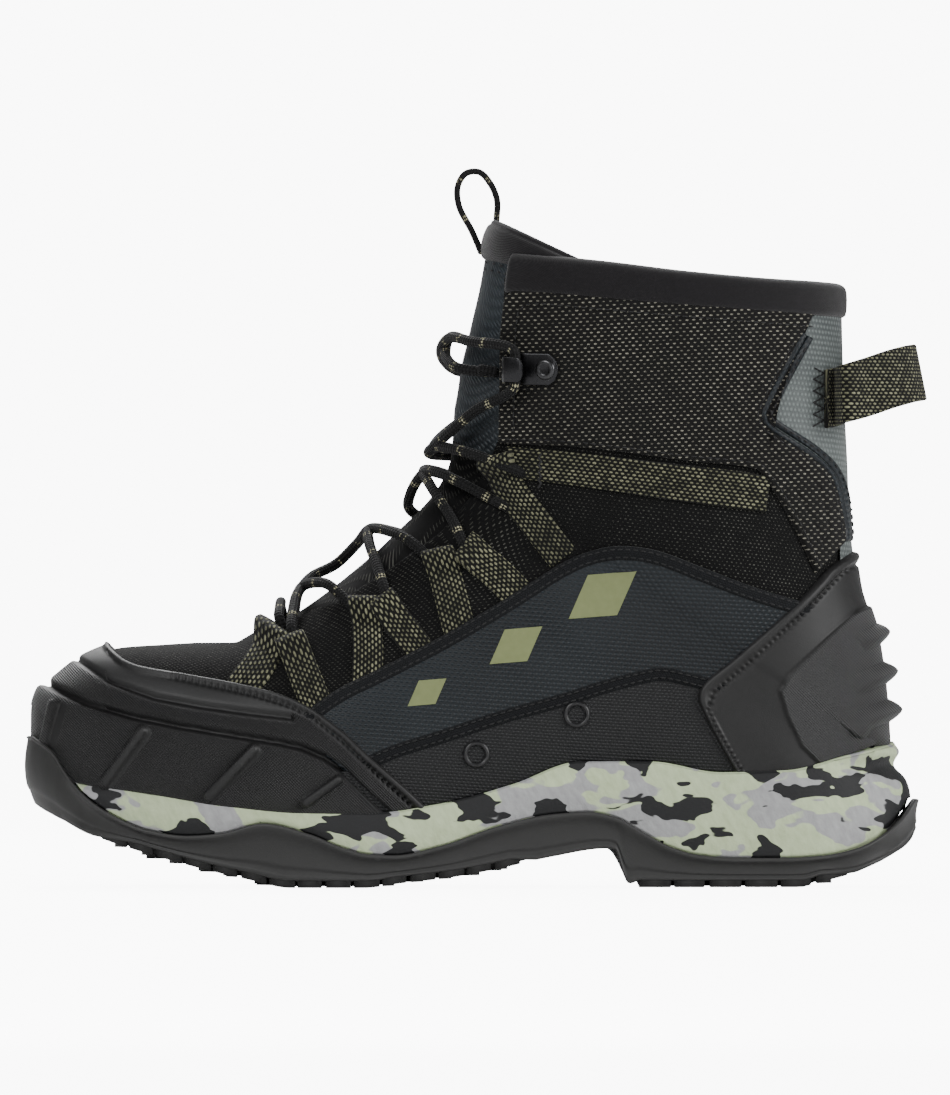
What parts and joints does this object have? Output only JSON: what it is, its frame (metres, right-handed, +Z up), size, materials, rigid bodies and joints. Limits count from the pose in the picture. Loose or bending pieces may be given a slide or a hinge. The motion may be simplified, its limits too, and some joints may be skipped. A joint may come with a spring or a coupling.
{
  "type": "wading boot",
  "caption": "Ankle-high wading boot with a rubber toe cap and heel counter, mesh vamp, woven webbing lace keepers, lace hooks, camouflage foam midsole and lugged rubber outsole",
  "frame": {"origin": "middle of the tread under the heel, on the ground", "axes": "+X runs from the toe to the heel, +Y from the boot's outer side to its inner side, and +Z up from the ground"},
  "size_m": [0.3213, 0.1091, 0.2559],
  "materials": {
    "sole_rubber": "matt",
    "camo_foam": "matt",
    "insole_fabric": "matt",
    "black_mesh": "matt",
    "neoprene": "matt",
    "toe_rubber": "satin",
    "coated_textile": "satin",
    "cuff_weave": "matt",
    "olive_webbing": "matt",
    "port_plastic": "satin",
    "black_metal": "gloss",
    "lace_cord": "matt"
  },
  "bodies": {
    "root": {"ankle_webbing_lateral": "olive_webbing", "ankle_webbing_medial": "olive_webbing", "back_gore": "coated_textile", "collar": "neoprene", "cuff_panel_lateral": "cuff_weave", "cuff_panel_medial": "cuff_weave", "drain_panel_lateral": "black_mesh", "drain_panel_medial": "black_mesh", "drain_port_lateral_1": "port_plastic", "drain_port_lateral_2": "port_plastic", "drain_port_medial_1": "port_plastic", "drain_port_medial_2": "port_plastic", "heel_counter": "toe_rubber", "heel_pull_loop": "olive_webbing", "heel_rib_1": "toe_rubber", "heel_rib_2": "toe_rubber", "heel_rib_3": "toe_rubber", "insole": "insole_fabric", "lace_bar": "lace_cord", "lace_crossing_high": "lace_cord", "lace_crossing_low": "lace_cord", "lace_crossing_mid": "lace_cord", "lace_hook_lateral": "black_metal", "lace_hook_medial": "black_metal", "lace_keeper_lateral_1": "olive_webbing", "lace_keeper_lateral_2": "olive_webbing", "lace_keeper_lateral_3": "olive_webbing", "lace_keeper_lateral_4": "olive_webbing", "lace_keeper_medial_1": "olive_webbing", "lace_keeper_medial_2": "olive_webbing", "lace_keeper_medial_3": "olive_webbing", "lace_keeper_medial_4": "olive_webbing", "midsole": "camo_foam", "outsole": "sole_rubber", "side_panel_lateral": "coated_textile", "side_panel_medial": "coated_textile", "toe_cap": "toe_rubber", "toe_rim": "toe_rubber", "tongue": "neoprene", "tongue_pull_loop": "lace_cord", "upper": "black_mesh"}
  },
  "joints": []
}
